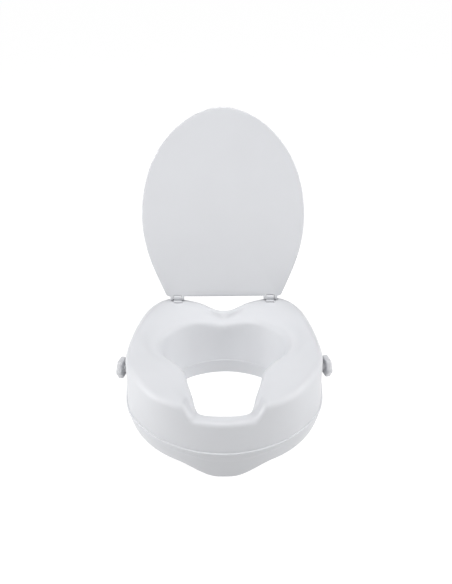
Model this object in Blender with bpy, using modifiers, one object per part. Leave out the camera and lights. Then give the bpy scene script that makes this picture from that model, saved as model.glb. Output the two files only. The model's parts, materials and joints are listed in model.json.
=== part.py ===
"""Raised toilet seat: a 100 mm riser with a lid, held on the bowl by two screw clamps.

Metres, +Z up, the front of the seat towards -Y. Left and right are as seen from the front,
so right is +X. z = 0 is the lowest edge (front chin and splash guard), and x = y = 0 is the
middle of the whole assembly with its lid open.
"""

import math

import bmesh
import bpy
import numpy as np
from mathutils import Euler, Matrix, Vector

MM = 0.001
SIDES = ((-1, "left"), (1, "right"))

# Heights: the seat rests on the bowl's rim at RIM_PLANE_Z and raises it by RISE
RISE = 100 * MM
RIM_PLANE_Z = 20 * MM
SEAT_TOP_Z = RIM_PLANE_Z + RISE
LEDGE_Z = 50 * MM
GUARD_STEP_Z = 31 * MM

# The seat's own frame lies this far in front of the middle of the assembly, and its plans are
# drawn about a point PLAN_CENTRE_Y further forward
SEAT_CENTRE_Y = -52.5 * MM
PLAN_CENTRE_Y = -20 * MM

# Plans: angle from the front of the seat (degrees) and radius (mm).
# Outer wall where its top edge begins to roll
OUTER_PLAN = (
    (0, 157), (16, 157.5), (30, 161.5), (48, 168), (60, 171), (73, 177), (85, 184), (95, 188.5),
    (104, 193), (119, 208), (130, 226.5), (137.5, 242), (144, 253), (150, 257), (156, 248),
    (162, 228), (167, 211), (171, 194), (175.5, 179.5), (180, 175),
)
# Ledge round the skirt, its widest line
LEDGE_PLAN = (
    (0, 181), (22, 181.3), (44, 183.8), (55, 186), (65, 188.7), (76, 188.6), (87, 188.4),
    (98, 192.5), (107, 198.5), (119, 212), (130, 230.5), (137.5, 246), (144, 257), (150, 261),
    (156, 252), (162, 232), (167, 215), (171, 198), (175.5, 183.5), (180, 179),
)
# Skirt's bottom edge
SKIRT_PLAN = (
    (0, 183), (25, 182.6), (45, 182.5), (61, 182.3), (76, 183.6), (87, 185.5), (98, 190),
    (107, 196), (119, 209.5), (130, 228), (137.5, 243.5), (144, 254.5), (150, 258.5),
    (156, 249.5), (162, 229.5), (167, 212.5), (171, 195.5), (175.5, 181), (180, 176.5),
)
# Edge of the opening
OPENING_PLAN = (
    (0, 134), (12, 135), (19, 133), (24.5, 124), (29, 113.5), (36.5, 100.5), (50, 86.5), (62, 79),
    (72, 78), (83, 84), (96, 99), (106, 119), (116, 136), (128, 148), (142.5, 151.5), (163, 145),
    (180, 129),
)
# Splash guard inside the bowl
GUARD_PLAN = ((0, 120), (45, 118), (90, 117), (136, 119.5), (155, 115), (180, 113))
STATIONS = 92
STATION_CROWDING = 0.45

# Section of the seat
WALL = 3.6 * MM
CORE_DEPTH = 1.8 * MM
LEDGE_DEPTH = 2.6 * MM
WALL_TOP_Z = 108 * MM
OUTER_ROLL = 14 * MM
INNER_ROLL = 20 * MM
FRONT_ROLL = 8 * MM
CROWN_LAND = 6 * MM
WALL_LEAN = 20
DISH = 11 * MM
DIP_DEPTH = 22 * MM
DIP_HALF_FLAT = 50 * MM
DIP_HALF_WIDTH = 79 * MM
CHIN_HALF_FLAT = 12 * MM
CHIN_HALF_WIDTH = 84 * MM
GUARD_STEP = 1.6 * MM

# Lid
LID_LENGTH = 396 * MM
LID_LEAN = 17
LID_OPENING = 90 + LID_LEAN
LID_HALF_PLAN = (
    (0, 396), (57, 381), (104, 347), (141, 298), (163, 238), (170.5, 172), (165, 119), (151, 70),
    (131, 22), (125.5, 9.1),
)
LID_BACK_EDGE = 3 * MM
LID_CORNER_RADIUS = 10 * MM
LID_THICKNESS = 3.4 * MM
LID_DOME = 7 * MM
LID_UNDERSIDE = -4.5 * MM

# Hinges
HINGE_X = 100 * MM
HINGE_SEAT_Y = 191.5 * MM
HINGE_Z = 127 * MM
HINGE_RADIUS = 6 * MM
HINGE_FLOOR_Z = 115 * MM
PILLAR_BOTTOM_Z = 96 * MM
BLOCK_WIDTH = 17 * MM
EAR_GAP = 1.2 * MM
EAR_CLEARANCE = 1.5 * MM
INNER_EAR = 4 * MM
OUTER_EAR = 6 * MM
PIN_RADIUS = 2.5 * MM
PIN_CLEARANCE = 0.15 * MM
HINGE_SCREW_RADIUS = 2.4 * MM
HINGE_SCREW_HEAD = 4.4 * MM

# Clamps, measured along the screw from the face of the boss in the seat's wall
CLAMP_TURN = 14
CLAMP_FACE = (191 * MM, 15 * MM)
CLAMP_Z = 70 * MM
BOSS_RADIUS = 10 * MM
BOSS_DEPTH = 9 * MM
SCREW_RADIUS = 4 * MM
SCREW_INNER_END = -73 * MM
SCREW_OUTER_END = 11.6 * MM
CLAMP_RING_RADIUS = 8.5 * MM
KNOB_RADIUS = 21.5 * MM
KNOB_LOBES = 6
KNOB_LOBE_DEPTH = 1.3 * MM
KNOB_BACK = 5.2 * MM
KNOB_RIM = 11 * MM
KNOB_STEM_START = 1.6 * MM
KNOB_STEM_RADIUS = 5.6 * MM
JAW_FACE = -60 * MM
JAW_THICKNESS = 5 * MM
JAW_HALF_WIDTH = 17 * MM
JAW_TOP_Z = 84 * MM
JAW_BOTTOM_Z = 2 * MM
JAW_PAD_THICKNESS = 2.7 * MM
JAW_PAD_MARGIN = 2 * MM
GUIDE_PLAY = 1 * MM
NUT_RADIUS = 7.5 * MM
NUT_LENGTH = 6 * MM
NUT_DEPTH = 3.5 * MM
GAP = 0.3 * MM

# Pads that rest on the bowl's rim: angle from the front (degrees) and distance from the plan's centre
RIM_PADS = {"front": (40, 155 * MM), "back": (132, 165 * MM)}
PAD_RADIUS = 10 * MM
PAD_THICKNESS = 3 * MM

RIB_ANGLES = (14, 62, 166)
RIB_THICKNESS = 3 * MM
RIB_BOTTOM_Z = 36 * MM
RIB_INNER_END = 60 * MM
RIB_OUTER_END = 300 * MM
GUIDE_LENGTH = 120 * MM

# Looks: colour, roughness and metallic value
WHITE_PLASTIC = ((0.83, 0.835, 0.85), 0.22, 0.0)
KNOB_PLASTIC = ((0.80, 0.805, 0.82), 0.3, 0.0)
RUBBER = ((0.22, 0.22, 0.23), 0.8, 0.0)
STEEL = ((0.68, 0.68, 0.69), 0.3, 1.0)

# Turns the Z axis of a primitive or a turned piece to +X, and the X axis to +Z
Z_TO_X = Matrix.Rotation(math.pi / 2, 4, "Y")
X_TO_Z = Matrix.Rotation(-math.pi / 2, 4, "Y")


def clear_scene():
    for item in list(bpy.data.objects):
        bpy.data.objects.remove(item, do_unlink=True)


def new_collection(name):
    collection = bpy.data.collections.new(name)
    bpy.context.scene.collection.children.link(collection)
    return collection


def principled(name, look):
    colour, roughness, metallic = look
    material = bpy.data.materials.new(name)
    material.use_nodes = True
    shader = material.node_tree.nodes["Principled BSDF"]
    shader.inputs["Base Color"].default_value = (*colour, 1.0)
    shader.inputs["Roughness"].default_value = roughness
    shader.inputs["Metallic"].default_value = metallic
    material.diffuse_color = (*colour, 1.0)
    return material


def add_empty(name, collection, parent, placement):
    empty = bpy.data.objects.new(name, None)
    collection.objects.link(empty)
    empty.parent = parent
    empty.matrix_local = placement
    return empty


def add_object(name, work, collection, look=None, parent=None):
    """An object from a bmesh: a part when it has a look, and otherwise a hidden cutter."""
    mesh = bpy.data.meshes.new(name)
    work.to_mesh(mesh)
    work.free()
    item = bpy.data.objects.new(name, mesh)
    collection.objects.link(item)
    item.parent = parent
    if look is None:
        item.hide_render = True
        item.display_type = "WIRE"
        return item
    mesh.materials.append(principled(name, look))
    mesh.shade_smooth()
    mesh.set_sharp_from_angle(angle=math.radians(35))
    return item


def boolean(item, operation, other):
    modifier = item.modifiers.new(operation.title(), "BOOLEAN")
    modifier.operation = operation
    modifier.object = other


def add_box(work, low, high, placement=Matrix.Identity(4)):
    low, high = Vector(low), Vector(high)
    size = Matrix.Diagonal((*(high - low), 1.0))
    centre = Matrix.Translation((low + high) / 2)
    bmesh.ops.create_cube(work, size=1.0, matrix=placement @ centre @ size)


def add_rod(work, radius, start, end, placement=Matrix.Identity(4), segments=24):
    """A cylinder along the placement's X axis, from start to end."""
    turn = Matrix.Translation(((start + end) / 2, 0, 0)) @ Z_TO_X
    bmesh.ops.create_cone(work, cap_ends=True, segments=segments, radius1=radius, radius2=radius,
                          depth=end - start, matrix=placement @ turn)


def add_loft(work, rings, caps=False):
    """Quads between closed rings of equal length, with a face over each end when caps is set."""
    rows = [[work.verts.new(point) for point in ring] for ring in rings]
    count = len(rows[0])
    for one, two in zip(rows, rows[1:]):
        for i in range(count):
            j = (i + 1) % count
            work.faces.new((one[i], one[j], two[j], two[i]))
    if caps:
        work.faces.new(list(reversed(rows[0])))
        work.faces.new(rows[-1])
        bmesh.ops.recalc_face_normals(work, faces=work.faces)
    return rows


def turned(name, profile, collection, look, parent, placement, steps=24):
    """A piece turned about the placement's Z axis from (radius, height) points.

    The points run down the outer side. A profile that stays off the axis is closed to a ring.
    """
    work = bmesh.new()
    points = [work.verts.new((radius, 0, height)) for radius, height in profile]
    ends = list(zip(points, points[1:]))
    if profile[0][0] > 0:
        ends.append((points[-1], points[0]))
    for pair in ends:
        work.edges.new(pair)
    item = add_object(name, work, collection, look, parent)
    item.matrix_local = placement
    sweep = item.modifiers.new("Turn", "SCREW")
    sweep.axis = "Z"
    sweep.steps = steps
    sweep.render_steps = steps
    sweep.use_merge_vertices = True
    sweep.merge_threshold = 0.00001
    return item


def spline(knots, values, first_slope, last_slope):
    """Cubic through the points with continuous curvature and the given end slopes."""
    x = np.array(knots, float)
    y = np.array(values, float)
    step = np.diff(x)
    chord = np.diff(y) / step
    count = len(x)
    system = np.zeros((count, count))
    right = np.zeros(count)
    system[0, 0:2] = 2 * step[0], step[0]
    right[0] = 6 * (chord[0] - first_slope)
    system[-1, -2:] = step[-1], 2 * step[-1]
    right[-1] = 6 * (last_slope - chord[-1])
    for i in range(1, count - 1):
        system[i, i - 1:i + 2] = step[i - 1], 2 * (step[i - 1] + step[i]), step[i]
        right[i] = 6 * (chord[i] - chord[i - 1])
    bend = np.linalg.solve(system, right)

    def at(position):
        i = np.clip(np.searchsorted(x, position) - 1, 0, count - 2)
        a, b = x[i + 1] - position, position - x[i]
        h = step[i]
        return ((bend[i] * a ** 3 + bend[i + 1] * b ** 3) / (6 * h)
                + (y[i] / h - bend[i] * h / 6) * a + (y[i + 1] / h - bend[i + 1] * h / 6) * b)

    return at


def smooth_step(value, start, end):
    t = np.clip((value - start) / (end - start), 0, 1)
    return t * t * (3 - 2 * t)


def station_angles():
    """Angles round the seat from its front, closer together at the front and the back notch."""
    even = np.linspace(0, 2 * math.pi, STATIONS, endpoint=False)
    return even - STATION_CROWDING * np.sin(2 * even) / 2


def plan_curve(points):
    """A symmetric closed plan as (x, y) rows, one per station, about the plan's centre."""
    angles = station_angles()
    from_front = np.degrees(np.minimum(angles, 2 * math.pi - angles))
    radius_at = spline([p[0] for p in points], [p[1] * MM for p in points], 0, 0)
    radius = radius_at(from_front)
    return np.stack([radius * np.sin(angles), PLAN_CENTRE_Y - radius * np.cos(angles)], 1)


def outward(curve):
    along = np.roll(curve, -1, 0) - np.roll(curve, 1, 0)
    normal = np.stack([along[:, 1], -along[:, 0]], 1)
    return normal / np.linalg.norm(normal, axis=1)[:, None]


def ring_at(plan, height):
    return np.column_stack([plan, np.broadcast_to(height, len(plan))])


def across_front(plan, half_flat, half_width):
    """1 over the middle of the front, falling smoothly to 0 at half_width on either side."""
    fall = 1 - smooth_step(np.abs(plan[:, 0]), half_flat, half_width)
    return np.where(plan[:, 1] < PLAN_CENTRE_Y, fall, 0)


def across_back():
    """0 round the front of the opening, rising to 1 past its widest point."""
    angles = station_angles()
    return smooth_step(np.degrees(np.minimum(angles, 2 * math.pi - angles)), 88, 114)


def skirt_rings():
    """From the bottom edge, which drops to a chin at the front, up to the ledge."""
    skirt, ledge = plan_curve(SKIRT_PLAN), plan_curve(LEDGE_PLAN)
    chin = RIM_PLANE_Z * (1 - across_front(skirt, CHIN_HALF_FLAT, CHIN_HALF_WIDTH))
    foot = ledge - outward(ledge) * LEDGE_DEPTH
    return [ring_at(skirt, chin), ring_at(ledge, LEDGE_Z - LEDGE_DEPTH), ring_at(foot, LEDGE_Z)]


def top_rings(foot):
    """Leaning wall, rolled outer edge, dished top with the front dip, and rolled inner edge."""
    outer, opening = plan_curve(OUTER_PLAN), plan_curve(OPENING_PLAN)
    dip = across_front(outer, DIP_HALF_FLAT, DIP_HALF_WIDTH)
    crest = SEAT_TOP_Z - DIP_DEPTH * dip
    roll = FRONT_ROLL + (INNER_ROLL - FRONT_ROLL) * across_back()
    land = np.linalg.norm(outer - opening, axis=1)
    narrow = np.minimum(1, land / (OUTER_ROLL + roll + CROWN_LAND))
    outer_roll = OUTER_ROLL * narrow
    inner_roll = roll * narrow
    inner_top = crest - DISH * (1 - 0.8 * dip)

    wall_end = crest - outer_roll * (1 - math.sin(math.radians(WALL_LEAN)))
    rise = np.minimum((wall_end - LEDGE_Z) / (WALL_TOP_Z - LEDGE_Z), 1.05)
    wall = foot + (outer - foot) * rise[:, None]
    rings = [ring_at(wall, wall_end)]
    for turn in np.radians((38, 56, 73, 90)):
        inset = outer_roll * (math.cos(math.radians(WALL_LEAN)) - math.cos(turn))
        rings.append(ring_at(wall - outward(outer) * inset[:, None],
                             crest - outer_roll * (1 - math.sin(turn))))
    for turn in np.radians((80, 55, 30, 5)):
        inset = inner_roll * (1 - math.cos(turn))
        rings.append(ring_at(opening + outward(opening) * inset[:, None],
                             inner_top - inner_roll * (1 - math.sin(turn))))
    return rings


def guard_rings():
    """The splash guard's step and its bottom edge."""
    guard = plan_curve(GUARD_PLAN)
    normal = outward(guard)
    return [ring_at(guard + normal * GUARD_STEP, GUARD_STEP_Z),
            ring_at(guard + normal * GUARD_STEP / 4, GUARD_STEP_Z - GUARD_STEP), ring_at(guard, 0.0)]


def seat_rings():
    """Rings of the seat's outer surface, from the skirt's edge over the top to the guard's edge."""
    skirt = skirt_rings()
    foot = skirt[-1][:, :2]
    return np.array(skirt + top_rings(foot) + guard_rings())


def inset_rings(rings, depth):
    """The same rings moved into the plastic by depth, square to the surface."""
    across = np.gradient(rings, axis=0)
    around = np.roll(rings, -1, 1) - np.roll(rings, 1, 1)
    normal = np.cross(around, across)
    normal /= np.linalg.norm(normal, axis=2)[:, :, None]
    moved = rings - normal * depth
    moved[0, :, 2] = rings[0, :, 2]
    moved[-1, :, 2] = rings[-1, :, 2]
    return moved


def clamp_frame(side):
    """A clamp's own axes: +X along the screw out of the seat, +Z up, origin on the boss's face."""
    x, y = CLAMP_FACE
    turn = CLAMP_TURN if side > 0 else 180 - CLAMP_TURN
    return Matrix.Translation((side * x, y, CLAMP_Z)) @ Matrix.Rotation(math.radians(turn), 4, "Z")


def hinge_screw_frame(side):
    return Matrix.Translation((side * HINGE_X, HINGE_SEAT_Y, 0))


def pad_place(where, side):
    angle, distance = RIM_PADS[where]
    turn = math.radians(angle)
    return Vector((side * distance * math.sin(turn), PLAN_CENTRE_Y - distance * math.cos(turn), 0))


def add_ribs(work, side):
    for angle in RIB_ANGLES:
        spin = Matrix.Translation((0, PLAN_CENTRE_Y, 0)) @ Matrix.Rotation(math.radians(side * angle), 4, "Z")
        add_box(work, (-RIB_THICKNESS / 2, -RIB_OUTER_END, RIB_BOTTOM_Z),
                (RIB_THICKNESS / 2, -RIB_INNER_END, SEAT_TOP_Z), spin)


def add_jaw_guides(work, side):
    """Two walls that the clamp's jaw runs between."""
    low = RIM_PLANE_Z + 2 * MM - CLAMP_Z
    high = SEAT_TOP_Z - CLAMP_Z
    for edge in (-1, 1):
        middle = edge * (JAW_HALF_WIDTH + GUIDE_PLAY + RIB_THICKNESS / 2)
        add_box(work, (-GUIDE_LENGTH, middle - RIB_THICKNESS / 2, low),
                (20 * MM, middle + RIB_THICKNESS / 2, high), clamp_frame(side))


def add_hinge_pillar(work, side):
    x = side * HINGE_X
    add_box(work, (x - 14 * MM, HINGE_SEAT_Y - 13 * MM, PILLAR_BOTTOM_Z),
            (x + 14 * MM, HINGE_SEAT_Y + 16 * MM, SEAT_TOP_Z))


def add_pad_columns(work, side):
    for where in RIM_PADS:
        upright = Matrix.Translation(pad_place(where, side)) @ X_TO_Z
        add_rod(work, PAD_RADIUS, RIM_PLANE_Z + PAD_THICKNESS + GAP, SEAT_TOP_Z, upright, segments=20)


def inner_structure():
    """Ribs, clamp guides, hinge pillars and pad columns before they are trimmed to the shell."""
    work = bmesh.new()
    for side, _ in SIDES:
        add_ribs(work, side)
        add_jaw_guides(work, side)
        add_hinge_pillar(work, side)
        add_pad_columns(work, side)
    return work


def seat_core(rings):
    """The solid that fills the shell to the middle of its wall."""
    work = bmesh.new()
    rows = add_loft(work, inset_rings(rings, CORE_DEPTH))
    count = len(rows[0])
    for i in range(count):
        j = (i + 1) % count
        work.faces.new((rows[-1][i], rows[-1][j], rows[0][j], rows[0][i]))
    bmesh.ops.recalc_face_normals(work, faces=work.faces)
    return work


def seat_bosses():
    work = bmesh.new()
    for side, _ in SIDES:
        add_rod(work, BOSS_RADIUS, -BOSS_DEPTH, 0, clamp_frame(side), segments=32)
    return work


def seat_pockets():
    """A flat-floored pocket for each hinge block, open to the back."""
    work = bmesh.new()
    half = BLOCK_WIDTH / 2 + GAP
    for side, _ in SIDES:
        x = side * HINGE_X
        add_box(work, (x - half, HINGE_SEAT_Y - 11 * MM, HINGE_FLOOR_Z),
                (x + half, HINGE_SEAT_Y + 30 * MM, SEAT_TOP_Z + 20 * MM))
    return work


def seat_holes():
    """Clearance holes for the clamp screws and for the screws that hold the hinge blocks."""
    work = bmesh.new()
    for side, _ in SIDES:
        add_rod(work, SCREW_RADIUS + GAP, -20 * MM, 20 * MM, clamp_frame(side))
        add_rod(work, HINGE_SCREW_RADIUS + GAP, PILLAR_BOTTOM_Z - 16 * MM, HINGE_FLOOR_Z + 5 * MM,
                hinge_screw_frame(side) @ X_TO_Z, segments=20)
    return work


def make_seat(parts, cutters, root):
    rings = seat_rings()
    surface = bmesh.new()
    add_loft(surface, rings)
    seat = add_object("seat_body", surface, parts, WHITE_PLASTIC, root)
    shell = seat.modifiers.new("Wall", "SOLIDIFY")
    shell.thickness = WALL
    shell.offset = -1
    shell.use_even_offset = True
    inside = add_object("cut_inner_structure", inner_structure(), cutters, parent=root)
    boolean(inside, "INTERSECT", add_object("cut_seat_core", seat_core(rings), cutters, parent=root))
    boolean(seat, "UNION", inside)
    boolean(seat, "UNION", add_object("cut_seat_bosses", seat_bosses(), cutters, parent=root))
    boolean(seat, "DIFFERENCE", add_object("cut_seat_pockets", seat_pockets(), cutters, parent=root))
    boolean(seat, "DIFFERENCE", add_object("cut_seat_holes", seat_holes(), cutters, parent=root))


def lid_outline():
    """The lid's closed plan, hinge axis at y = 0 and the front edge at y = -LID_LENGTH."""
    points = np.array(LID_HALF_PLAN) * MM
    along = np.concatenate([[0], np.cumsum(np.linalg.norm(np.diff(points, axis=0), axis=1))])
    x_at = spline(along, points[:, 0], 1.0, -0.39)
    y_at = spline(along, points[:, 1], 0.0, -0.92)
    half = [(float(x_at(v)), float(y_at(v))) for v in np.linspace(0, along[-1], 22)]
    r = LID_CORNER_RADIUS
    centre = (half[-1][0] - 0.92 * r, LID_BACK_EDGE + r)
    for turn in np.radians((-45, -68, -90)):
        half.append((centre[0] + r * math.cos(turn), centre[1] + r * math.sin(turn)))
    for part in (0.66, 0.33, 0.0):
        half.append((centre[0] * part, LID_BACK_EDGE))
    other = [(-x, y) for x, y in reversed(half[1:-1])]
    return np.array([(x, -y) for x, y in half + other])


def lid_plate():
    """A shallow dome lofted from the lid's middle to its turned-down edge, inside and outside."""
    outline = lid_outline()
    middle = np.array([0, -LID_LENGTH * 0.45])
    inside = [(part, LID_UNDERSIDE + LID_DOME * (1 - drop)) for part, drop in
              ((0.12, 0.0), (0.45, 0.18), (0.75, 0.55), (0.93, 0.92), (0.985, 1.0))]
    edge = [(1.0, LID_UNDERSIDE + 0.8 * MM), (0.995, LID_UNDERSIDE + 0.6 * LID_THICKNESS)]
    outside = [(min(part, 0.965), height + LID_THICKNESS) for part, height in reversed(inside[:-1])]
    rings = []
    for part, height in inside + edge + outside:
        rings.append(ring_at(middle + (outline - middle) * part, height))
    work = bmesh.new()
    add_loft(work, rings, caps=True)
    return work


def hinge_spans(side):
    """Where the block and the lid's two ears lie along X, each as (low, high)."""
    half = BLOCK_WIDTH / 2
    near, far = HINGE_X - half - EAR_GAP, HINGE_X + half + EAR_GAP
    spans = {"inner": (near - INNER_EAR, near), "block": (HINGE_X - half, HINGE_X + half),
             "outer": (far, far + OUTER_EAR)}
    return {key: tuple(sorted(side * v for v in span)) for key, span in spans.items()}


def hinge_reach(side):
    """The ends of the whole hinge along X."""
    ends = sorted(hinge_spans(side)["inner"] + hinge_spans(side)["outer"])
    return ends[0], ends[-1]


def lid_ears():
    work = bmesh.new()
    for side, _ in SIDES:
        for key in ("inner", "outer"):
            add_rod(work, HINGE_RADIUS, *hinge_spans(side)[key])
    return work


def lid_ear_roots():
    work = bmesh.new()
    for side, _ in SIDES:
        for key in ("inner", "outer"):
            low, high = hinge_spans(side)[key]
            add_box(work, (low, -16 * MM, LID_UNDERSIDE + 0.5 * MM), (high, -1 * MM, LID_UNDERSIDE + 6.5 * MM))
    return work


def lid_bores():
    work = bmesh.new()
    for side, _ in SIDES:
        low, high = hinge_reach(side)
        add_rod(work, PIN_RADIUS + PIN_CLEARANCE, low - 1 * MM, high + 1 * MM)
    return work


def lid_reliefs():
    """Round gaps between the ears that clear the hinge blocks at every angle of the lid."""
    work = bmesh.new()
    for side, _ in SIDES:
        low, high = hinge_spans(side)["block"]
        add_rod(work, HINGE_RADIUS + EAR_CLEARANCE, low - EAR_GAP, high + EAR_GAP)
    return work


def make_lid(parts, cutters, hinge):
    lid = add_object("lid", lid_plate(), parts, WHITE_PLASTIC, hinge)
    boolean(lid, "UNION", add_object("cut_lid_ear_roots", lid_ear_roots(), cutters, parent=hinge))
    boolean(lid, "UNION", add_object("cut_lid_ears", lid_ears(), cutters, parent=hinge))
    boolean(lid, "DIFFERENCE", add_object("cut_lid_reliefs", lid_reliefs(), cutters, parent=hinge))
    boolean(lid, "DIFFERENCE", add_object("cut_lid_bores", lid_bores(), cutters, parent=hinge))


def make_hinge_block(side, name, parts, cutters, root):
    """A foot in the seat's pocket with a barrel that the lid's pin runs through."""
    low, high = hinge_spans(side)["block"]
    axis = Matrix.Translation((0, HINGE_SEAT_Y, HINGE_Z))
    foot = bmesh.new()
    add_box(foot, (low, HINGE_SEAT_Y - 10 * MM, HINGE_FLOOR_Z + GAP),
            (high, HINGE_SEAT_Y + 8 * MM, HINGE_Z - 5 * MM))
    block = add_object("hinge_block_" + name, foot, parts, WHITE_PLASTIC, root)
    barrel = bmesh.new()
    add_rod(barrel, HINGE_RADIUS, low, high, axis, segments=32)
    boolean(block, "UNION", add_object("cut_barrel_" + name, barrel, cutters, parent=root))
    holes = bmesh.new()
    add_rod(holes, PIN_RADIUS + PIN_CLEARANCE, low - 1 * MM, high + 1 * MM, axis)
    add_rod(holes, HINGE_SCREW_RADIUS + PIN_CLEARANCE, HINGE_FLOOR_Z - 1 * MM, HINGE_Z - 4 * MM,
            hinge_screw_frame(side) @ X_TO_Z, segments=20)
    boolean(block, "DIFFERENCE", add_object("cut_block_holes_" + name, holes, cutters, parent=root))


def make_hinge_pin(side, name, parts, lid_hinge):
    low, high = hinge_reach(side)
    pin = bmesh.new()
    add_rod(pin, PIN_RADIUS, low + 0.5 * MM, high - 0.5 * MM)
    add_object("hinge_pin_" + name, pin, parts, STEEL, lid_hinge)


def make_hinge_screw(side, name, parts, root):
    """Pan-headed screw from below, and the washer under the pillar."""
    head = PILLAR_BOTTOM_Z - 1.8 * MM
    tip = HINGE_Z - 4.5 * MM
    turned("hinge_screw_" + name,
           ((0, tip), (1.6 * MM, tip), (HINGE_SCREW_RADIUS, tip - 1 * MM), (HINGE_SCREW_RADIUS, head),
            (HINGE_SCREW_HEAD, head), (HINGE_SCREW_HEAD, head - 2.8 * MM), (3.2 * MM, head - 3.4 * MM),
            (0, head - 3.4 * MM)),
           parts, STEEL, root, hinge_screw_frame(side), steps=20)
    bore, edge = HINGE_SCREW_RADIUS + GAP, 6 * MM
    high, low = PILLAR_BOTTOM_Z - GAP, PILLAR_BOTTOM_Z - 1.5 * MM
    turned("hinge_washer_" + name, ((bore, high), (edge, high), (edge, low), (bore, low)),
           parts, STEEL, root, hinge_screw_frame(side), steps=20)


def lobed_ring(x, scale, samples=48):
    ring = []
    for i in range(samples):
        turn = 2 * math.pi * i / samples
        r = (KNOB_RADIUS - KNOB_LOBE_DEPTH * (1 - math.cos(KNOB_LOBES * turn))) * scale
        ring.append(Vector((x, r * math.cos(turn), r * math.sin(turn))))
    return ring


def make_knob(name, parts, cutters, frame):
    """Six-lobed hand wheel with a domed face, on a round stem that bears on the washer."""
    face = KNOB_BACK + KNOB_RIM
    wheel = bmesh.new()
    add_loft(wheel, [lobed_ring(x, scale) for x, scale in (
        (KNOB_BACK, 0.86), (KNOB_BACK + 1.5 * MM, 0.97), (KNOB_BACK + 3 * MM, 1.0), (face - 3 * MM, 1.0),
        (face - 1.2 * MM, 0.95), (face, 0.84), (face + 1.4 * MM, 0.5), (face + 1.8 * MM, 0.15))], caps=True)
    knob = add_object("clamp_knob_" + name, wheel, parts, KNOB_PLASTIC, frame)
    stem = bmesh.new()
    add_rod(stem, KNOB_STEM_RADIUS, KNOB_STEM_START, KNOB_BACK + 2.4 * MM)
    boolean(knob, "UNION", add_object("cut_stem_" + name, stem, cutters, parent=frame))
    bore = bmesh.new()
    add_rod(bore, SCREW_RADIUS + PIN_CLEARANCE, -10 * MM, SCREW_OUTER_END + GAP)
    boolean(knob, "DIFFERENCE", add_object("cut_knob_bore_" + name, bore, cutters, parent=frame))


def make_clamp_screw(name, parts, frame):
    """The screw, its washer outside the wall and its retaining clip inside."""
    turned("clamp_screw_" + name,
           ((0, SCREW_OUTER_END), (SCREW_RADIUS, SCREW_OUTER_END), (SCREW_RADIUS, SCREW_INNER_END + 1 * MM),
            (3.2 * MM, SCREW_INNER_END), (0, SCREW_INNER_END)), parts, STEEL, frame, Z_TO_X)
    bore, edge = SCREW_RADIUS + PIN_CLEARANCE, CLAMP_RING_RADIUS
    for label, low, high in (("knob_washer_", GAP, 1.3 * MM),
                             ("screw_clip_", -BOSS_DEPTH - 1.5 * MM, -BOSS_DEPTH - GAP)):
        turned(label + name, ((bore, high), (edge, high), (edge, low), (bore, low)),
               parts, STEEL, frame, Z_TO_X)


def make_jaw(name, parts, cutters, frame):
    """The jaw that the screw draws along, with a six-sided pocket for its nut."""
    back = JAW_FACE - JAW_THICKNESS
    plate = bmesh.new()
    add_box(plate, (back, -JAW_HALF_WIDTH, JAW_BOTTOM_Z - CLAMP_Z),
            (JAW_FACE, JAW_HALF_WIDTH, JAW_TOP_Z - CLAMP_Z))
    jaw = add_object("clamp_jaw_" + name, plate, parts, WHITE_PLASTIC, frame)
    bevel = jaw.modifiers.new("Edges", "BEVEL")
    bevel.width = 1.2 * MM
    bevel.segments = 1
    pocket = bmesh.new()
    add_rod(pocket, NUT_RADIUS + GAP, back - 2 * MM, back + NUT_DEPTH + GAP, segments=6)
    boolean(jaw, "DIFFERENCE", add_object("cut_pocket_" + name, pocket, cutters, parent=frame))
    bore = bmesh.new()
    add_rod(bore, SCREW_RADIUS + GAP, back - 2 * MM, JAW_FACE + 2 * MM)
    boolean(jaw, "DIFFERENCE", add_object("cut_jaw_bore_" + name, bore, cutters, parent=frame))


def make_jaw_nut(name, parts, cutters, frame):
    end = JAW_FACE - JAW_THICKNESS + NUT_DEPTH
    hexagon = bmesh.new()
    add_rod(hexagon, NUT_RADIUS, end - NUT_LENGTH, end, segments=6)
    nut = add_object("jaw_nut_" + name, hexagon, parts, STEEL, frame)
    thread = bmesh.new()
    add_rod(thread, SCREW_RADIUS + PIN_CLEARANCE, end - NUT_LENGTH - 1 * MM, end + 1 * MM)
    boolean(nut, "DIFFERENCE", add_object("cut_nut_thread_" + name, thread, cutters, parent=frame))


def make_jaw_pad(name, parts, frame):
    """Rubber face that grips the inside of the bowl's rim, below the rim's top."""
    start = JAW_FACE + GAP
    half = JAW_HALF_WIDTH - JAW_PAD_MARGIN
    pad = bmesh.new()
    add_box(pad, (start, -half, JAW_BOTTOM_Z + JAW_PAD_MARGIN / 2 - CLAMP_Z),
            (start + JAW_PAD_THICKNESS, half, RIM_PLANE_Z - CLAMP_Z))
    add_object("jaw_pad_" + name, pad, parts, RUBBER, frame)


def make_rim_pads(parts, root):
    for where in RIM_PADS:
        for side, name in SIDES:
            disc = bmesh.new()
            add_rod(disc, PAD_RADIUS, RIM_PLANE_Z, RIM_PLANE_Z + PAD_THICKNESS, X_TO_Z)
            pad = add_object(f"rim_pad_{where}_{name}", disc, parts, RUBBER, root)
            pad.location = pad_place(where, side)


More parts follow.
